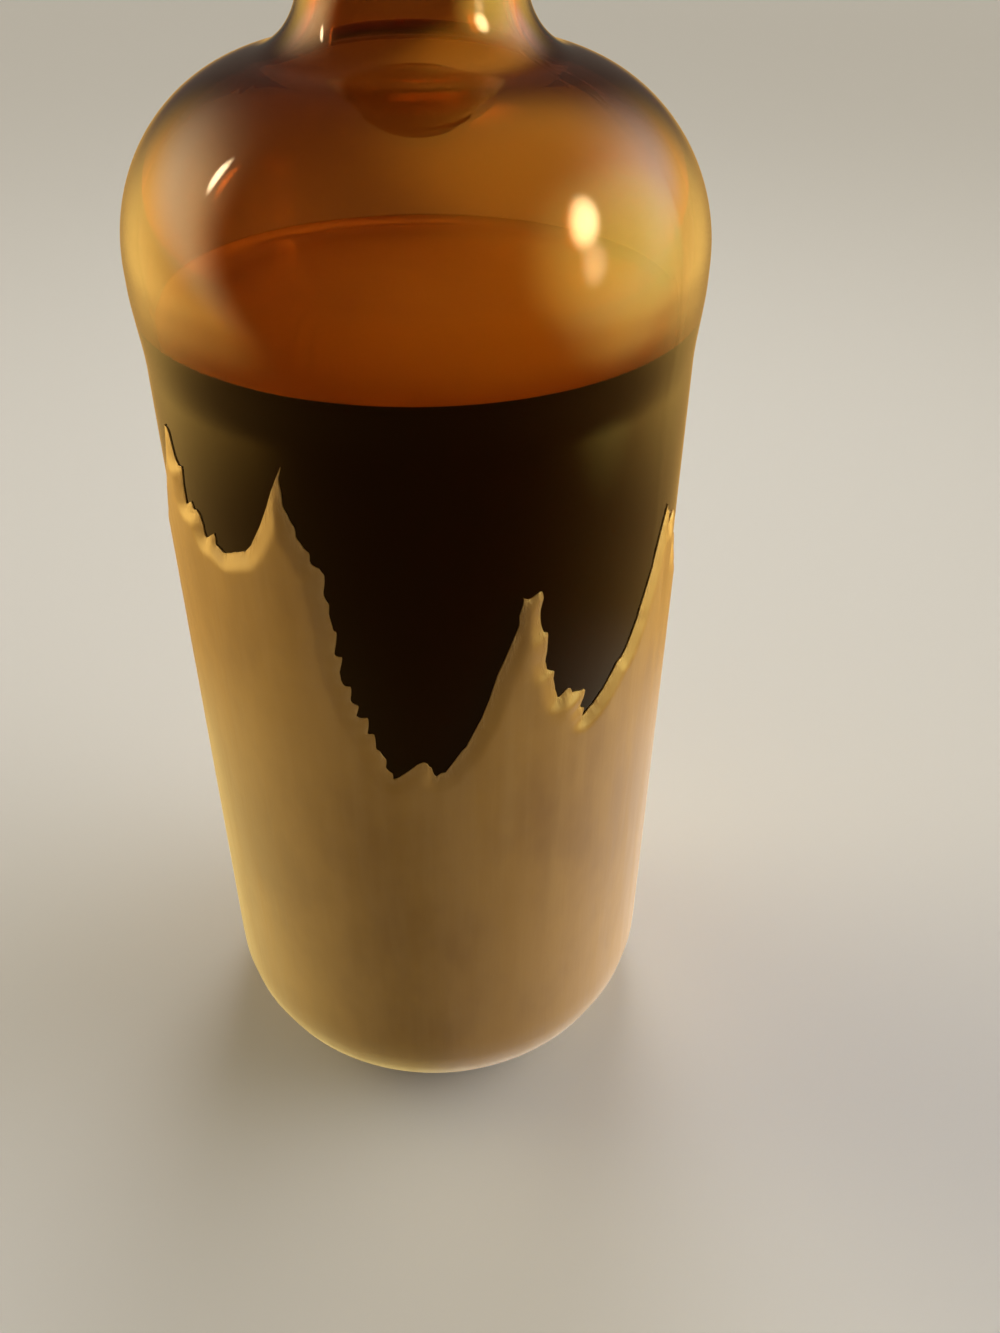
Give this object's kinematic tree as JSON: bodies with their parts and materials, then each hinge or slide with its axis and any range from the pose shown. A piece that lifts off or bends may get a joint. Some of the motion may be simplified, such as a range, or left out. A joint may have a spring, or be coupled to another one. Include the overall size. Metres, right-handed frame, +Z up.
{
  "type": "liquor bottle",
  "caption": "Round-shouldered amber glass bottle with dark liquor, a tan lower sleeve with a ragged upper edge, and a ribbed screw cap.",
  "frame": {"origin": "centre of the foot, on the surface that the bottle stands on", "axes": "+Z up along the bottle's axis; -Y is the front, the side that the picture shows"},
  "size_m": [0.082, 0.082, 0.26],
  "materials": {
    "amber_glass": "clear gloss",
    "dark_liquor": "clear dark drink",
    "tan_sleeve": "satin",
    "dark_closure": "satin"
  },
  "bodies": {
    "root": {"bottle": "amber_glass", "liquor": "dark_liquor", "sleeve": "tan_sleeve", "cap": "dark_closure", "tamper_band": "dark_closure"}
  },
  "joints": []
}
